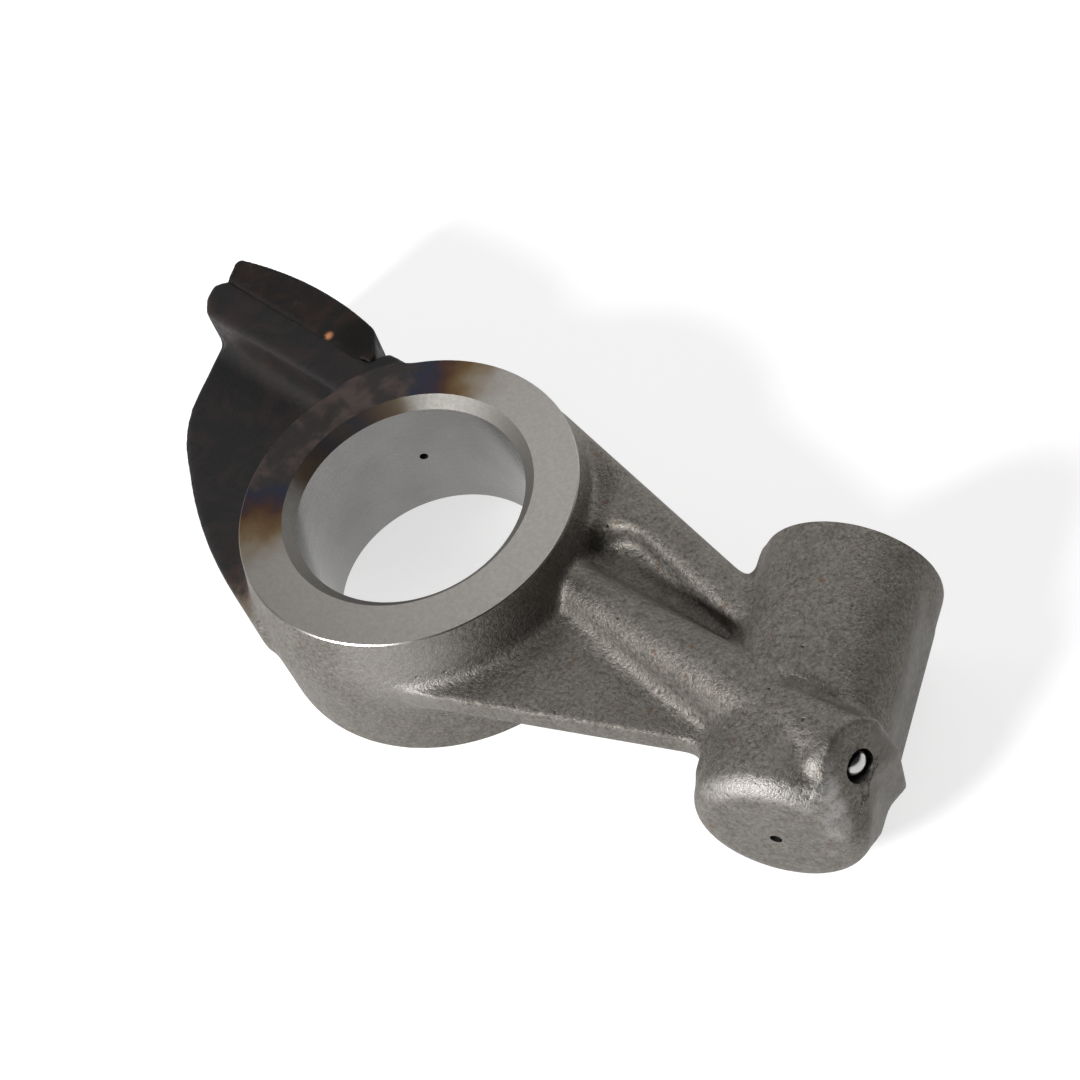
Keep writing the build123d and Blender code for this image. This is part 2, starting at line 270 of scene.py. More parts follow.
world = bpy.data.worlds.new("studioWorld")
world.use_nodes = True
world.node_tree.nodes["Background"].inputs["Color"].default_value = (1.0, 1.0, 1.0, 1.0)
world.node_tree.nodes["Background"].inputs["Strength"].default_value = studio["skyGrey"]
bpy.context.scene.world = world

for name in ("key", "overhead", "back", "side"):
    direction, size, watts = studio[name]
    lampData = bpy.data.lights.new(name + "Lamp", "AREA")
    lampData.shape = "DISK"
    lampData.size = size
    lampData.energy = watts
    lamp = bpy.data.objects.new(name + "Lamp", lampData)
    bpy.context.scene.collection.objects.link(lamp)
    direction = Vector(direction).normalized()
    lamp.location = direction * studio["distance"]
    lamp.rotation_euler = direction.to_track_quat("Z", "Y").to_euler()
print("camera, floor and lamps ready")


def addObject(name, mesh):
    thing = bpy.data.objects.new(name, mesh)
    bpy.context.scene.collection.objects.link(thing)
    return thing


def lathe(name, outline, centre, axis, sides, finishes=None):
    # Closed turned solid, in millimetres: outline runs from axis to axis as (radius, height) points
    axis = Vector(axis).normalized()
    across = axis.orthogonal().normalized()
    other = axis.cross(across)
    shape = bmesh.new()
    rings = []
    for radius, height in outline:
        middle = Vector(centre) + axis * height
        if radius == 0:
            rings.append([shape.verts.new(middle * mm)])
            continue
        ring = []
        for step in range(sides):
            turn = 2 * pi * step / sides
            ring.append(shape.verts.new((middle + (across * cos(turn) + other * sin(turn)) * radius) * mm))
        rings.append(ring)
    for strip, (below, above) in enumerate(zip(rings, rings[1:])):
        for step in range(sides):
            after = (step + 1) % sides
            corners = [below[step % len(below)], below[after % len(below)]]
            corners += [above[after % len(above)], above[step % len(above)]]
            face = shape.faces.new(list(dict.fromkeys(corners)))
            face.material_index = strip if finishes else 0
    bmesh.ops.recalc_face_normals(shape, faces=shape.faces)
    mesh = bpy.data.meshes.new(name)
    shape.to_mesh(mesh)
    shape.free()
    for finish in finishes or []:
        mesh.materials.append(finish)
    return mesh


def applied(thing):
    # The object's mesh with its modifiers worked in, in place of the old mesh
    depsgraph = bpy.context.evaluated_depsgraph_get()
    mesh = bpy.data.meshes.new_from_object(thing.evaluated_get(depsgraph))
    thing.modifiers.clear()
    thing.data = mesh


def together(name, meshes):
    shape = bmesh.new()
    for mesh in meshes:
        shape.from_mesh(mesh)
    joined = bpy.data.meshes.new(name)
    shape.to_mesh(joined)
    shape.free()
    return addObject(name, joined)


def revoxel(thing, size):
    # Melts what overlaps into one skin of small even faces
    remesh = thing.modifiers.new("skin", "REMESH")
    remesh.mode = "VOXEL"
    remesh.voxel_size = size * mm
    remesh.use_smooth_shade = True
    applied(thing)


def machine(thing, cutterMesh):
    # Cut with a tool: the new faces keep the tool's finish
    cutter = addObject("cutter", cutterMesh)
    cut = thing.modifiers.new("cut", "BOOLEAN")
    cut.operation = "DIFFERENCE"
    cut.solver = "EXACT"
    cut.material_mode = "TRANSFER"
    cut.object = cutter
    applied(thing)
    bpy.data.objects.remove(cutter)


def readPoints(mesh):
    points = np.empty(len(mesh.vertices) * 3)
    mesh.vertices.foreach_get("co", points)
    return points.reshape(-1, 3) / mm


def writePoints(mesh, points):
    mesh.vertices.foreach_set("co", (points * mm).ravel())
    mesh.update()


def relax(mesh, points, rounds, share):
    # Moves each point towards the middle of its neighbours; share is one number or one for each point
    edges = np.empty(len(mesh.edges) * 2, dtype=np.int64)
    mesh.edges.foreach_get("vertices", edges)
    start, end = edges.reshape(-1, 2).T
    count = len(points)
    degree = np.bincount(start, minlength=count) + np.bincount(end, minlength=count)
    degree = np.maximum(degree, 1)
    share = np.broadcast_to(share, (count,))
    for _ in range(rounds):
        pull = np.empty_like(points)
        for column in range(3):
            line = points[:, column]
            total = np.bincount(start, line[end], count) + np.bincount(end, line[start], count)
            pull[:, column] = total / degree - line
        points = points + pull * share[:, None]
    return points


def fromPoint(points, place):
    return np.linalg.norm(points - np.array(place), axis=1)


def fromLine(points, stops):
    # Distance of each point from a line with corners
    nearest = np.full(len(points), np.inf)
    for start, end in zip(stops, stops[1:]):
        start, reach = np.array(start), np.array(end) - np.array(start)
        part = np.clip((points - start) @ reach / (reach @ reach), 0, 1)
        nearest = np.minimum(nearest, np.linalg.norm(points - start - part[:, None] * reach, axis=1))
    return nearest


def fade(distance, near, far):
    # 1 up to near, 0 from far on
    step = np.clip((far - distance) / (far - near), 0, 1)
    return step * step * (3 - 2 * step)


# Furnace heat from brazing the pad: tints run outwards from the hottest direction, in hundreds of degrees
heat = {
    "middle": 146.0,  # direction from the bore that got hottest, in degrees
    "armRipple": 9.0,  # how far the tints wander, in degrees
    "faceRipple": 5.0,
    "armEdge": (0.84, 0.62),  # where the scale starts to show, and where it covers
    "faceEdge": (0.80, 0.60),
    "armTints": [
        (0.00, (0.0110, 0.0100, 0.0100)),
        (0.50, (0.0105, 0.0105, 0.0115)),
        (0.58, (0.0135, 0.0118, 0.0125)),
        (0.66, (0.034, 0.021, 0.015)),
        (0.74, (0.100, 0.070, 0.042)),
        (0.84, (0.165, 0.150, 0.130)),
    ],
    "faceTints": [
        (0.00, (0.042, 0.038, 0.036)),
        (0.36, (0.046, 0.041, 0.042)),
        (0.41, (0.034, 0.037, 0.054)),
        (0.455, (0.042, 0.034, 0.046)),
        (0.50, (0.072, 0.040, 0.030)),
        (0.57, (0.125, 0.079, 0.040)),
        (0.66, (0.190, 0.145, 0.092)),
        (0.80, (0.265, 0.247, 0.222)),
    ],
    "patch": (0.030, 0.019, 0.016),
    "cloud": (0.088, 0.068, 0.062),
}

# Shot-blasted skin of the casting. A grain is given as size, detail, roughness and warp.
skin = {
    "colour": (0.160, 0.148, 0.132),
    "paler": (0.190, 0.177, 0.159),
    "darker": (0.090, 0.083, 0.073),
    "rust": (0.150, 0.085, 0.055),
    # pale tone for edges from wear and painted highlight, and for the painted light on the wall under the turned face
    "wearAndPaintedLight": (0.300, 0.285, 0.270),
    # paler still: painted highlight with wear on the facet's edge
    "bright": (0.470, 0.455, 0.440),
    "pit": (0.045, 0.040, 0.036),
    "rough": 0.56,
    "metal": 0.85,
    "grainDepth": 0.152,
    "coarse": (0.55, 3.0, 0.6),
    "middle": (2.2, 3.0, 0.65),
    "fine": (5.5, 2.0, 0.6),
    "sand": (2.9, 3.0, 0.75),
    "rustSpecks": (1.35, 1.0, 0.4, 0.6),
    "pitSpacing": 0.42,
    "pitField": (0.16, 1.0),
    "scalePatches": (0.22, 4.0, 0.65, 0.8),
    "ripple": (0.35, 3.0, 0.6),
    "spots": (  # place, full within, none beyond, strength, colour
        ((47.2, -19.9, 8.7), 0.5, 2.0, 0.55, "darker"),  # stain on the facet
        ((5.0, -16.8, 4.0), 2.0, 8.5, 0.55, "wearAndPaintedLight"),  # painted light: pale pool on the wall under the turned face
        ((15.4, -8.8, 3.6), 1.5, 6.0, 0.60, "darker"),  # painted shade in the corner between that wall and the rib
    ),
    "crease": (  # foot of the boss on the barrel, darkened as painted shade
        (42.2, -14.1, 8.0), (43.3, -14.2, 8.0), (44.4, -14.5, 7.8),
        (45.5, -14.9, 7.6), (46.6, -15.3, 7.5), (47.6, -15.9, 7.5),
    ),
    "creaseShadeStrength": 0.7,
    "endEdgeOuter": (-22.9, -23.7),  # the closed end's upper edge, pale from wear and painted highlight, along the barrel
    "endEdgeInner": (-25.0, -24.5),
    "endEdgeHeight": (3.0, 6.0),
    "facetEdge": {  # edge of the facet, pale from wear and painted highlight, with its strength at each place
        (46.3, -21.3, 7.8): 0.25, (46.9, -22.6, 6.0): 1.0, (47.6, -23.5, 4.3): 0.95, (48.2, -24.2, 2.8): 0.55,
    },
    "seam": (49.8, -20.2, 3.6),  # ragged end of the grinding, between facet and gate
    "seamAcross": (-0.521, -0.228, 0.820),
    "seamRag": (0.9, 4.0, 0.7),
    "seamWander": 0.8,
    "seamWidth": (0.16, 0.03),
    "seamColour": (0.030, 0.026, 0.023),
}

# Faces cut on the lathe
turned = {
    "colour": (0.270, 0.257, 0.240),
    "darker": 0.90,
    "soot": (0.060, 0.055, 0.051),
    "rough": 0.34,
    "roughSpread": 0.015,
    "hotRough": 0.10,
    "mottle": (2.4, 4.0, 0.7),
    "ripple": (0.30, 3.0, 0.55),
    "clouds": (0.32, 4.0, 0.6, 0.3),
    "scratches": (6.0, 2.0, 0.6),
    "feed": 0.22,  # distance from one tool ring to the next
    "lineDepth": 0.004,
}

# Honed bore walls and ground or faced flats
honed = {
    "pale": (0.310, 0.306, 0.300), "dark": (0.262, 0.258, 0.253), "cloud": (0.12, 2.0, 0.5),
    "lines": (1.0, 3.0, 0.6), "stretch": (0.25, 0.25, 9.0), "depth": 0.0035,
    "rough": (0.20, 0.30), "metal": 1.0,
}
ground = {
    "pale": (0.143, 0.134, 0.122), "dark": (0.120, 0.112, 0.102), "cloud": (0.5, 3.0, 0.6),
    "lines": (2.2, 3.0, 0.65), "stretch": (1.0, 0.75, 1.2), "depth": 0.045,
    "rough": (0.44, 0.56), "metal": 0.9,
}
drilled = {
    "pale": (0.16, 0.155, 0.15), "dark": (0.09, 0.088, 0.085), "rings": (2.0, 2.0, 0.5),
    "rough": 0.45, "depth": 0.01,
}


def aroundBore(finish):
    # Angle away from the hottest direction, in degrees, and the distance from the bore's axis
    parts = finish.split()
    degreesRound = finish.times(finish.maths("ARCTAN2", parts[1], parts[0]), 180 / pi)
    away = finish.maths("SUBTRACT", degreesRound, heat["middle"])
    away = finish.maths("ABSOLUTE", finish.maths("WRAP", away, 180.0, -180.0))
    square = finish.plus(finish.times(parts[0], parts[0]), finish.times(parts[1], parts[1]))
    return away, finish.maths("SQRT", square), parts


def castSkin():
    finish = Finish("castSkin")
    look = skin
    away, distance, parts = aroundBore(finish)
    middle = finish.grain(*look["middle"])
    fine = finish.grain(*look["fine"])
    tone = finish.spread(finish.grain(*look["coarse"]), 0.32, 0.68)
    colour = finish.blend(tone, look["colour"], look["paler"])
    colour = finish.blend(finish.spread(middle, 0.52, 0.30, 0.0, 0.65), colour, look["darker"])
    specks = finish.spread(finish.grain(*look["rustSpecks"]), 0.70, 0.78, 0.0, 0.6)
    colour = finish.blend(specks, colour, look["rust"])
    # Sand pits, a few in a cluster
    pits = finish.spread(finish.cells(look["pitSpacing"]), 0.10, 0.04)
    pits = finish.times(pits, finish.spread(finish.grain(*look["pitField"]), 0.57, 0.62))
    colour = finish.blend(pits, colour, look["pit"])
    sand = finish.spread(finish.grain(*look["sand"]), 0.34, 0.66, 0.70, 1.28, smooth=False)
    colour = finish.blend(1.0, colour, sand, mode="MULTIPLY")
    # Spots: a stain on the facet, painted light on the wall under the face, painted shade in the corner by the rib
    for place, near, far, strength, name in look["spots"]:
        colour = finish.blend(finish.times(finish.closeTo(place, near, far), strength), colour, look[name])
    # Painted shade along the crease between boss and barrel
    crease = finish.strongest(dict.fromkeys(look["crease"], look["creaseShadeStrength"]), 0.5, 1.6)
    colour = finish.blend(crease, colour, look["darker"])
    # Edges pale from wear and painted highlight: the closed end's upper edge, then the facet's edge
    wearAndPaintedLight = finish.times(finish.spread(parts[1], *look["endEdgeOuter"]), finish.spread(parts[1], *look["endEdgeInner"]))
    wearAndPaintedLight = finish.times(wearAndPaintedLight, finish.spread(parts[2], *look["endEdgeHeight"]))
    wearAndPaintedLight = finish.times(wearAndPaintedLight, finish.spread(middle, 0.30, 0.60, 0.35, 1.0))
    colour = finish.blend(wearAndPaintedLight, colour, look["wearAndPaintedLight"])
    # Painted highlight with wear along the facet's edge
    edge = finish.strongest(look["facetEdge"], 0.5, 1.7)
    edge = finish.times(edge, finish.spread(middle, 0.30, 0.60, 0.45, 1.0))
    colour = finish.blend(edge, colour, look["bright"])
    # The grinding of the gate ends in a ragged seam beside the ball
    wander = look["seamWander"]
    rag = finish.spread(finish.grain(*look["seamRag"]), 0.2, 0.8, -wander, wander, smooth=False)
    across = finish.plus(finish.along(look["seamAcross"], look["seam"]), rag)
    seam = finish.spread(finish.maths("ABSOLUTE", across), *look["seamWidth"])
    seam = finish.times(seam, finish.closeTo(look["seam"], 2.0, 3.2))
    colour = finish.blend(finish.times(seam, 0.75), colour, look["seamColour"])
    # Furnace scale round the pad arm
    wander = heat["armRipple"]
    ripple = finish.spread(finish.grain(*look["ripple"]), 0.25, 0.75, -wander, wander, smooth=False)
    band = finish.maths("DIVIDE", finish.plus(away, ripple), 100.0)
    scale = finish.bands(band, heat["armTints"])
    patches = finish.spread(finish.grain(*look["scalePatches"]), 0.42, 0.66)
    scale = finish.blend(finish.times(patches, 0.35), scale, heat["patch"])
    hot = finish.spread(band, *heat["armEdge"])
    colour = finish.blend(hot, colour, scale)
    rough = finish.spread(middle, 0.3, 0.7, look["rough"] - 0.08, look["rough"] + 0.10)
    metal = finish.maths("SUBTRACT", look["metal"], finish.times(hot, 0.85))
    # The shot-blasted grain, which is weaker under the smooth scale
    height = finish.plus(finish.times(middle, 0.75), finish.times(fine, 0.35))
    height = finish.maths("SUBTRACT", height, finish.times(finish.maths("MAXIMUM", pits, seam), 0.6))
    height = finish.times(height, finish.spread(hot, 0.0, 1.0, 1.0, 0.35))
    return finish.done(colour, rough, metal, finish.bump(height, look["grainDepth"]), specular=0.17)


def turnedFace(name, shift=0.0, rough=turned["rough"], washed=0.0, shade=1.0):
    # shift moves the tints towards the hottest direction, in degrees; washed greys them, shade darkens the steel
    finish = Finish(name)
    look = turned
    away, distance, parts = aroundBore(finish)
    mottle = finish.spread(finish.grain(*look["mottle"]), 0.3, 0.7)
    steel = tuple(shade * v for v in look["colour"])
    colour = finish.blend(mottle, steel, tuple(look["darker"] * v for v in steel))
    # Furnace tints: scale in the middle, then blue, purple, brown and straw
    wander = heat["faceRipple"]
    ripple = finish.grain(*look["ripple"])
    ripple = finish.spread(ripple, 0.25, 0.75, shift - wander, shift + wander, smooth=False)
    band = finish.maths("DIVIDE", finish.plus(away, ripple), 100.0)
    tints = finish.bands(band, heat["faceTints"])
    clouds = finish.spread(finish.grain(*look["clouds"]), 0.42, 0.68)
    clouds = finish.times(clouds, finish.spread(band, 0.42, 0.34))
    tints = finish.blend(clouds, tints, heat["cloud"])
    tints = finish.blend(washed, tints, look["soot"])
    hot = finish.spread(band, *heat["faceEdge"])
    colour = finish.blend(hot, colour, tints)
    low, high = rough - look["roughSpread"], rough + look["roughSpread"]
    rough = finish.spread(finish.grain(*look["mottle"]), 0.3, 0.7, low, high)
    rough = finish.plus(rough, finish.times(hot, look["hotRough"]))
    # Fine rings left by the facing tool
    rings = finish.maths("SINE", finish.times(distance, 2 * pi / look["feed"]))
    height = finish.plus(finish.times(rings, 0.25), finish.grain(*look["scratches"]))
    return finish.done(colour, rough, 1.0, finish.bump(height, look["lineDepth"]))


def groundMetal(name, look):
    # Fine lines left by stone or wheel, with a faint cloud under them
    finish = Finish(name)
    lines = finish.grain(*look["lines"], vector=finish.stretch(look["stretch"]))
    cloud = finish.spread(finish.grain(*look["cloud"]), 0.3, 0.7)
    colour = finish.blend(cloud, look["pale"], look["dark"])
    rough = finish.spread(lines, 0.3, 0.7, *look["rough"])
    return finish.done(colour, rough, look["metal"], finish.bump(lines, look["depth"]))


def drilledWall():
    finish = Finish("drilledWall")
    look = drilled
    rings = finish.grain(*look["rings"])
    colour = finish.blend(finish.spread(rings, 0.3, 0.7), look["pale"], look["dark"])
    return finish.done(colour, look["rough"], 1.0, finish.bump(rings, look["depth"]))


castFinish = castSkin()
faceFinish = turnedFace("turnedFace")
backFinish = turnedFace("turnedBackFace")
chamferFinish = turnedFace("turnedChamfer", shift=34.0, rough=0.64, washed=0.6, shade=0.72)
boreFinish = groundMetal("groundBore", honed)
flatFinish = groundMetal("groundFlat", ground)
drillFinish = drilledWall()
print("finishes of the casting ready")


# The casting, in millimetres: the raw skin is melted together first, then the machine cuts are made
casting = {
    "voxel": 0.33,
    # hub
    "bore": 11.5, "chamfer": 1.1, "top": 7.0, "bottom": -9.4, "face": 17.0, "back": 18.3,
    "stock": 0.8,  # metal that the cuts take off
    "edge": 0.12,  # broken edge of the turned face
    "stockDraft": 0.15, "stockWall": 1.3, "stockSpan": (-7.0, 5.5),
    "faceCutter": 1.2, "backCutter": 24.0, "hubPast": 5,
    # adjuster barrel
    "barrelX": 42.4, "mouth": 2.2, "mouthRadius": 8.4, "adjuster": 6.0, "lead": 0.6, "bottomY": -21.4,
    "end": -25.0, "vent": 0.55,
    "barrelPlug": 6.7, "ventPlug": 0.7, "mouthCutter": 9.3, "mouthPast": 4, "ventPast": 2,
    # oil gallery and its ball
    "galleryHub": (17.1, -3.75, 1.2), "galleryBoss": (49.08, -19.68, 5.4), "gallery": 1.1,
    "ball": 1.5, "ballSink": 1.35, "ballPlay": 0.01,
    "galleryPlug": 1.2, "ballPlug": 1.45, "plugShoulder": -1.5, "plugTop": 1.2, "plugPast": 4.0,
    "bossPast": 6.0, "galleryPast": 8.0,
    # spray hole in the hub
    "sprayTurn": 114.4, "spray": 0.45, "sprayHeight": -1.15,
    "sprayPlug": 0.6, "sprayPlugSpan": (11.9, 18.1), "sprayCutSpan": (8.0, 24.0),
    # facet: its thick edge and the knuckle above it
    "ridgeHigh": (46.01, -20.90, 7.32), "ridgeLow": (47.78, -23.50, 1.72), "ridge": 1.3, "ridgeShoulder": 0.7,
    "knucklePlace": (45.9, -22.4, 5.3), "knuckle": 2.0,
    "knuckleOutline": ((0, -1), (0.5, -0.866), (0.866, -0.5), (1, 0), (0.866, 0.5), (0.5, 0.866), (0, 1)),
    # ground stub of the gate
    "flatX": 50.3, "flatTilt": 4.6, "flatDepth": -0.25, "flatFacing": 0.84, "gateTop": -0.8,
    # smoothing of the skin, and how much of it is held back near some forms
    "rounds": 8, "smooth": 0.5, "leastSmooth": 0.15,
    "bossFade": (4.0, 7.0), "bossHold": 0.3, "bossEast": 49.9,
    "rootRadius": 18.2, "rootHeight": 1.4, "rootFade": (1.0, 2.5), "rootHold": 0.3, "rootEast": 4, "rootNorth": -4,
    "armTip": (-31.0, 23.0, 0.0), "tipFade": (5.0, 8.0), "tipHold": 0.25,
    # more smoothing in the valley between rim and rib, and on the gate
    "valley": ((18.5, -0.6), (33.0, -7.2)), "valleyRounds": 26, "valleyFade": (1.6, 4.2),
    "valleyTop": (4.2, 5.6), "valleyFloor": 0.3, "valleyRadius": 17.4,
    "gateRounds": 8, "gateEast": 50.2,
    # crease where the boss rises from the barrel
    "crease": ((40.6, -13.9, 8.1), (43.3, -14.2, 8.0), (44.9, -14.6, 7.7), (46.6, -15.3, 7.5), (48.2, -16.3, 7.5)),
    "creaseDepth": 0.24, "creaseFade": (0.15, 1.1),
    "sharpAngle": 32, "merge": 0.0001,
}
c = casting
hubPoint = Vector(c["galleryHub"])
bossPoint = Vector(c["galleryBoss"])
galleryAxis = (bossPoint - hubPoint).normalized()
ballCentre = bossPoint - galleryAxis * c["ballSink"]
galleryLength = (ballCentre - hubPoint).length
ballSeat = sqrt(c["ball"] ** 2 - c["gallery"] ** 2)
sprayAxis = Vector((cos(radians(c["sprayTurn"])), sin(radians(c["sprayTurn"])), 0))
sprayStart = (0, 0, c["sprayHeight"])
barrelStart = (c["barrelX"], 0, 0)

# Stock fills every hole of the solids, and adds what the cuts take off again
rawTop, rawBottom, rawMouth = c["top"] + c["stock"], c["bottom"] - c["stock"], c["mouth"] + c["stock"]
stockLow, stockHigh = c["stockSpan"]
hubStock = lathe("hubStock", [
    (0, rawBottom), (c["back"], rawBottom), (c["back"], c["bottom"]),
    (c["bore"] + c["stockWall"], stockLow), (c["bore"] + c["stockWall"], stockHigh), (c["face"], c["top"]),
    (c["face"] - c["stockDraft"], rawTop), (0, rawTop),
], (0, 0, 0), zAxis, 96)
barrelStock = lathe("barrelStock", [
    (0, c["bottomY"] - 1.0), (c["barrelPlug"], c["bottomY"] - 1.0), (c["barrelPlug"], 0.5),
    (c["mouthRadius"], c["mouth"]), (c["mouthRadius"], rawMouth), (0, rawMouth),
], barrelStart, yAxis, 64)
plugEnd = -galleryLength - c["plugPast"]
galleryStock = lathe("galleryStock", [
    (0, plugEnd), (c["galleryPlug"], plugEnd), (c["galleryPlug"], c["plugShoulder"]),
    (c["ballPlug"], c["plugShoulder"]), (c["ballPlug"], c["plugTop"]), (0, c["plugTop"]),
], ballCentre, galleryAxis, 24)
# Thick edge of the facet, which is bright where it rolls over to the closed end
ridgeAxis = Vector(c["ridgeLow"]) - Vector(c["ridgeHigh"])
ridge, ridgeLength = c["ridge"], ridgeAxis.length
shoulder = ridge * c["ridgeShoulder"]
ridgeStock = lathe("ridgeStock", [
    (0, -ridge), (shoulder, -shoulder), (ridge, 0),
    (ridge, ridgeLength), (shoulder, ridgeLength + shoulder), (0, ridgeLength + ridge),
], c["ridgeHigh"], ridgeAxis, 24)
knuckleOutline = [(c["knuckle"] * radius, c["knuckle"] * height) for radius, height in c["knuckleOutline"]]
knuckleStock = lathe("knuckleStock", knuckleOutline, c["knucklePlace"], zAxis, 24)
ventStock = lathe("ventStock", [
    (0, c["end"]), (c["ventPlug"], c["end"]), (c["ventPlug"], c["bottomY"] - 0.5), (0, c["bottomY"] - 0.5),
], barrelStart, yAxis, 16)
plugNear, plugFar = c["sprayPlugSpan"]
sprayStock = lathe("sprayStock", [
    (0, plugNear), (c["sprayPlug"], plugNear), (c["sprayPlug"], plugFar), (0, plugFar),
], sprayStart, sprayAxis, 16)

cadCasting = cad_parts["rocker_casting"]
body = together("castRockerArm", [
    cadCasting.data, hubStock, barrelStock, galleryStock, ridgeStock, knuckleStock, ventStock, sprayStock,
])
revoxel(body, c["voxel"])
points = readPoints(body.data)

# Less smoothing round the boss, the hub's root and the pad arm's tip
east, north, height = points.T
fromAxis = np.hypot(east, north)
bossShare = fade(fromPoint(points, bossPoint), *c["bossFade"]) * (east < c["bossEast"])
rootShare = fade(abs(fromAxis - c["rootRadius"]), *c["rootFade"])
rootShare = rootShare * fade(abs(height - c["rootHeight"]), *c["rootFade"])
rootShare = rootShare * (east > c["rootEast"]) * (north < c["rootNorth"])
tipShare = fade(fromPoint(points, c["armTip"]), *c["tipFade"])
share = c["smooth"] - c["bossHold"] * bossShare - c["rootHold"] * rootShare - c["tipHold"] * tipShare
points = relax(body.data, points, c["rounds"], np.maximum(share, c["leastSmooth"]))

# More of it in the valley beside the rib, and on the gate
valleyShare = fade(fromLine(points[:, :2], c["valley"]), *c["valleyFade"]) * fade(height, *c["valleyTop"])
valleyShare = valleyShare * (height > c["valleyFloor"]) * np.clip(fromAxis - c["valleyRadius"], 0, 1)
points = relax(body.data, points, c["valleyRounds"], c["smooth"] * valleyShare)
points = relax(body.data, points, c["gateRounds"], c["smooth"] * (east > c["gateEast"]))
writePoints(body.data, points)

# The crease is pressed in along the skin's own normals
normals = np.empty(len(points) * 3)
body.data.vertex_normals.foreach_get("vector", normals)
depth = c["creaseDepth"] * fade(fromLine(points, c["crease"]), *c["creaseFade"])
points = points - normals.reshape(-1, 3) * depth[:, None]
writePoints(body.data, points)
print("cast skin has", len(points), "points")

# The ground stub of the gate: faces of the skin that look out along the flat
body.data.materials.clear()
body.data.materials.append(castFinish)
body.data.materials.append(flatFinish)
flatNormal = Vector((cos(radians(c["flatTilt"])), 0, sin(radians(c["flatTilt"]))))
for face in body.data.polygons:
    out = (face.center / mm - Vector((c["flatX"], 0, 0))).dot(flatNormal)
    facing = face.normal.dot(flatNormal)
    if out > c["flatDepth"] and facing > c["flatFacing"] and face.center.y / mm < c["gateTop"]:
        face.material_index = 1

machine(body, lathe("hubCutter", [
    (0, c["top"] + c["hubPast"]), (c["face"] + c["faceCutter"], c["top"] + c["hubPast"]),
    (c["face"] + c["faceCutter"], c["top"] - c["edge"]), (c["face"], c["top"] - c["edge"]),
    (c["face"] - c["edge"], c["top"]), (c["bore"] + c["chamfer"], c["top"]),
    (c["bore"], c["top"] - c["chamfer"]), (c["bore"], c["bottom"] + c["chamfer"]),
    (c["bore"] + c["chamfer"], c["bottom"]), (c["backCutter"], c["bottom"]),
    (c["backCutter"], c["bottom"] - c["hubPast"]), (0, c["bottom"] - c["hubPast"]),
], (0, 0, 0), zAxis, 240, [faceFinish] * 5 + [chamferFinish, boreFinish, chamferFinish] + [backFinish] * 3))
machine(body, lathe("adjusterCutter", [
    (0, c["mouth"] + c["mouthPast"]), (c["mouthCutter"], c["mouth"] + c["mouthPast"]),
    (c["mouthCutter"], c["mouth"]), (c["adjuster"] + c["lead"], c["mouth"]),
    (c["adjuster"], c["mouth"] - c["lead"]), (c["adjuster"], c["bottomY"]), (c["vent"], c["bottomY"]),
    (c["vent"], c["end"] - c["ventPast"]), (0, c["end"] - c["ventPast"]),
], barrelStart, yAxis, 128, [flatFinish] * 3 + [chamferFinish, boreFinish] + [drillFinish] * 3))
holeEnd = -galleryLength - c["galleryPast"]
counterbore = c["ball"] + c["ballPlay"]
machine(body, lathe("galleryCutter", [
    (0, c["bossPast"]), (counterbore, c["bossPast"]), (counterbore, -ballSeat),
    (c["gallery"], -ballSeat), (c["gallery"], holeEnd), (0, holeEnd),
], ballCentre, galleryAxis, 64, [drillFinish] * 5))
cutNear, cutFar = c["sprayCutSpan"]
machine(body, lathe("sprayCutter", [
    (0, cutNear), (c["spray"], cutNear), (c["spray"], cutFar), (0, cutFar),
], sprayStart, sprayAxis, 24, [drillFinish] * 3))
print("casting machined,", len(body.data.polygons), "faces")

points = np.clip(readPoints(body.data), np.array(cadLow) / mm, np.array(cadHigh) / mm)
writePoints(body.data, points)
body.data.shade_smooth()
body.data.set_sharp_from_angle(angle=radians(c["sharpAngle"]))
# A tool leaves a crisp edge wherever its finish meets another one
shape = bmesh.new()
shape.from_mesh(body.data)
for edge in shape.edges:
    finishes = {face.material_index for face in edge.link_faces}
    if len(finishes) > 1 and max(finishes) > 1:
        edge.smooth = False
# Points that the cuts left on top of one another are merged, so that no sliver without area remains
bmesh.ops.remove_doubles(shape, verts=shape.verts, dist=c["merge"] * mm)
bmesh.ops.triangulate(shape, faces=shape.faces)
shape.to_mesh(body.data)
shape.free()
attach(body, root)
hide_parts("rocker_casting")


# The wear pad with the bead of braze under it, in millimetres
padLook = {
    "voxel": 0.16,
    "rounds": 10, "smooth": 0.5,
    "scale": (0.0085, 0.0072, 0.0068),
    "rust": (0.018, 0.0108, 0.0085),
    "grey": (0.022, 0.020, 0.020),
    "speck": (0.012, 0.011, 0.011),
    "copper": (0.34, 0.145, 0.065), "copperSpot": (-16.3, 18.6, 6.8), "copperFade": (0.10, 0.72),
    # painted shade: the pad's near end is darkened where it faces away from the lamps
    "endShade": (0.0045, 0.0040, 0.0035), "shadedEnd": (-12.4, 18.9, 6.8), "shadedEndFade": (1.5, 4.2),
    "cloud": (0.35, 4.0, 0.65, 0.7),
    "fine": (2.5, 4.0, 0.7),
    "greyPatches": (0.6, 3.0, 0.6, 0.4),
    "copperGrain": (1.6, 3.0, 0.6),
    "rough": (0.42, 0.62),
    "depth": 0.06,
    "specular": 0.12,
    "turn": -23.6,  # direction of the joint with the carrier, in degrees
    "seat": 10.3, "far": -38.9, "near": -17.2, "halfWidth": 6.8,
    "braze": 1.1,  # half height of the bead
    "farInset": 0.42, "nearInset": 0.05,  # how deep the bead sits in the side faces at its two ends
}


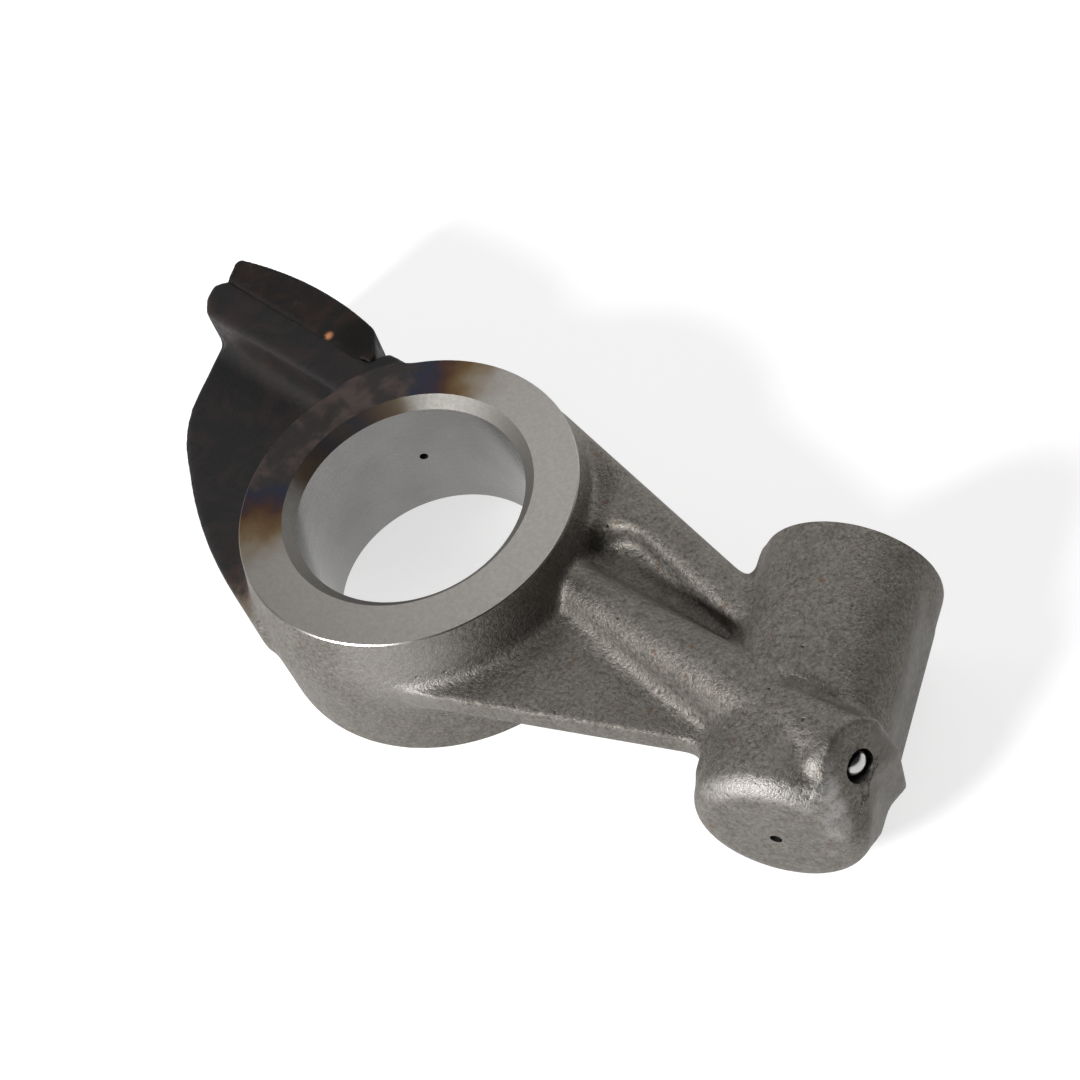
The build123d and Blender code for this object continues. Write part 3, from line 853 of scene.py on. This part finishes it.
def furnaceScale():
    finish = Finish("furnaceScale")
    look = padLook
    cloud = finish.grain(*look["cloud"])
    fine = finish.grain(*look["fine"])
    colour = finish.blend(finish.spread(cloud, 0.42, 0.66), look["scale"], look["rust"])
    grey = finish.spread(finish.grain(*look["greyPatches"]), 0.55, 0.72, 0.0, 0.7)
    colour = finish.blend(grey, colour, look["grey"])
    colour = finish.blend(finish.spread(fine, 0.55, 0.35, 0.0, 0.5), colour, look["speck"])
    # Painted shade on the pad's near end
    colour = finish.blend(finish.closeTo(look["shadedEnd"], *look["shadedEndFade"]), colour, look["endShade"])
    spot = finish.closeTo(look["copperSpot"], *look["copperFade"])
    spot = finish.times(spot, finish.spread(finish.grain(*look["copperGrain"]), 0.30, 0.55))
    colour = finish.blend(spot, colour, look["copper"])
    rough = finish.spread(cloud, 0.3, 0.7, *look["rough"])
    height = finish.plus(fine, finish.times(cloud, 1.5))
    return finish.done(colour, rough, 0.0, finish.bump(height, look["depth"]), specular=look["specular"])


bead = bmesh.new()
bmesh.ops.create_cube(bead, size=2.0)
for corner in bead.verts:
    atNear = corner.co.x > 0
    halfWidth = padLook["halfWidth"] - padLook["nearInset" if atNear else "farInset"]
    corner.co = Vector((
        padLook["near"] if atNear else padLook["far"],
        padLook["seat"] + corner.co.y * padLook["braze"],
        corner.co.z * halfWidth,
    )) * mm
bead.transform(Matrix.Rotation(radians(padLook["turn"]), 4, "Z"))
brazeMesh = bpy.data.meshes.new("brazeBead")
bead.to_mesh(brazeMesh)
bead.free()
padPiece = together("slipperPad", [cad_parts["slipper_pad"].data, brazeMesh])
revoxel(padPiece, padLook["voxel"])
points = relax(padPiece.data, readPoints(padPiece.data), padLook["rounds"], padLook["smooth"])
padLow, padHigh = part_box("slipper_pad")
writePoints(padPiece.data, np.clip(points, np.array(padLow) / mm, np.array(padHigh) / mm))
padPiece.data.materials.clear()
padPiece.data.materials.append(furnaceScale())
padPiece.data.shade_smooth()
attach(padPiece, root)
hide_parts("slipper_pad")
print("pad ready,", len(padPiece.data.polygons), "faces")


# The gallery ball, pressed into its counterbore
ballLook = {
    "steel": (0.46, 0.455, 0.45),
    "darker": 0.9,
    "haze": (3.0, 3.0, 0.6),
    "rough": (0.20, 0.26),
    "depth": 0.002,
    "ring": (0.030, 0.028, 0.027),  # the flank below the polished crown is painted shade, for the shadow in the gap round the ball
    "crown": (1.02, 1.16),  # heights over the ball's middle where the ring ends and the crown starts
    "rings": 24,
    "sides": 64,
}


def polishedSteel():
    finish = Finish("polishedSteel")
    look = ballLook
    haze = finish.grain(*look["haze"])
    darkSteel = tuple(v * look["darker"] for v in look["steel"])
    colour = finish.blend(finish.spread(haze, 0.3, 0.7), look["steel"], darkSteel)
    # Painted shade: the flank below the crown goes dark, for the shadow in the gap round the ball
    crown = finish.spread(finish.along(tuple(galleryAxis), tuple(ballCentre)), *look["crown"])
    colour = finish.blend(crown, look["ring"], colour)
    rough = finish.spread(haze, 0.3, 0.7, *look["rough"])
    return finish.done(colour, rough, 1.0, finish.bump(haze, look["depth"]))


ballOutline = []
for step in range(ballLook["rings"] + 1):
    turn = pi * step / ballLook["rings"]
    radius = 0 if step in (0, ballLook["rings"]) else c["ball"] * sin(turn)
    ballOutline.append((radius, c["ball"] * cos(turn)))
ballMesh = lathe("galleryBall", ballOutline, ballCentre, galleryAxis, ballLook["sides"])
ballPiece = addObject("galleryBall", ballMesh)
ballPiece.data.materials.append(polishedSteel())
ballPiece.data.shade_smooth()
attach(ballPiece, root)
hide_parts("gallery_ball")
print("ball ready")
